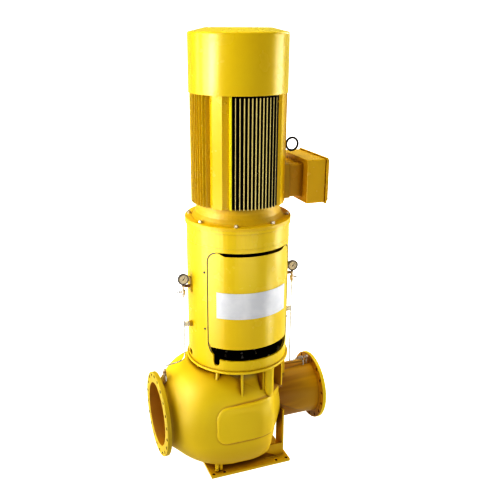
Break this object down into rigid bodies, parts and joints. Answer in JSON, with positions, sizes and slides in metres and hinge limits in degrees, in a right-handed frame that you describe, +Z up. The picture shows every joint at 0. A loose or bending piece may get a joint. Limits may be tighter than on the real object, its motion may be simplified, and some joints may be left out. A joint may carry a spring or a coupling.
{
  "type": "vertical in-line marine pump",
  "caption": "Vertical in-line pump with a volute casing, side suction and discharge flanges, a windowed lantern, gauges and a finned motor on top.",
  "frame": {"origin": "on the pump's vertical axis, on the floor under the baseplate", "axes": "+Z up along the shaft, -X towards the suction flange, +X towards the discharge flange, -Y towards the guard with the bare plate"},
  "size_m": [1.37, 0.8602, 3.402],
  "materials": {
    "paint": "glossy yellow enamel",
    "steel": "bare bright steel",
    "bronze": "brown tarnished bronze",
    "silver": "bare silvery white plate",
    "dark": "blackened forged steel",
    "gauge": "grey steel case with a cream dial"
  },
  "bodies": {
    "pump": {"baseplate": "paint", "volute_casing": "paint", "casing_cover": "paint", "lantern": "paint", "front_guard": "paint", "rear_guard": "paint", "guard_plate": "silver", "motor_flange": "paint", "motor_frame": "paint", "fan_cover": "paint", "terminal_box_neck": "paint", "terminal_box": "paint", "terminal_box_lid": "paint", "lifting_eye": "dark", "discharge_leg_front": "paint", "discharge_leg_rear": "paint", "suction_leg_front": "paint", "suction_leg_rear": "paint", "seal_housing": "steel", "shaft_coupling": "steel", "suction_gauge": "gauge", "suction_gauge_bracket": "paint", "suction_gauge_cock": "bronze", "suction_line_clamp": "paint", "suction_gauge_line": "steel", "suction_tapping_cock": "bronze", "discharge_gauge": "gauge", "discharge_gauge_bracket": "paint", "discharge_gauge_cock": "bronze", "discharge_line_clamp": "paint", "discharge_gauge_line": "steel", "discharge_tapping_cock": "bronze"},
    "suction_gauge_handle": {"suction_gauge_lever": "steel"},
    "discharge_gauge_handle": {"discharge_gauge_lever": "steel"},
    "suction_tapping_handle": {"suction_tapping_lever": "steel"},
    "discharge_tapping_handle": {"discharge_tapping_lever": "steel"}
  },
  "joints": [
    {"name": "suction_gauge_cock_turn", "type": "hinge", "parent": "pump", "child": "suction_gauge_handle", "pos_m": [-0.4783, -0.035, 1.505], "axis": [-1, 0, 0], "range_deg": [0, 90]},
    {"name": "discharge_gauge_cock_turn", "type": "hinge", "parent": "pump", "child": "discharge_gauge_handle", "pos_m": [0.4783, -0.035, 1.505], "axis": [-1, 0, 0], "range_deg": [0, 90]},
    {"name": "suction_tapping_cock_turn", "type": "hinge", "parent": "pump", "child": "suction_tapping_handle", "pos_m": [-0.614, -0.0363, 0.826], "axis": [0, -1, 0], "range_deg": [0, 90]},
    {"name": "discharge_tapping_cock_turn", "type": "hinge", "parent": "pump", "child": "discharge_tapping_handle", "pos_m": [0.572, -0.0363, 0.748], "axis": [0, 1, 0], "range_deg": [0, 90]}
  ]
}
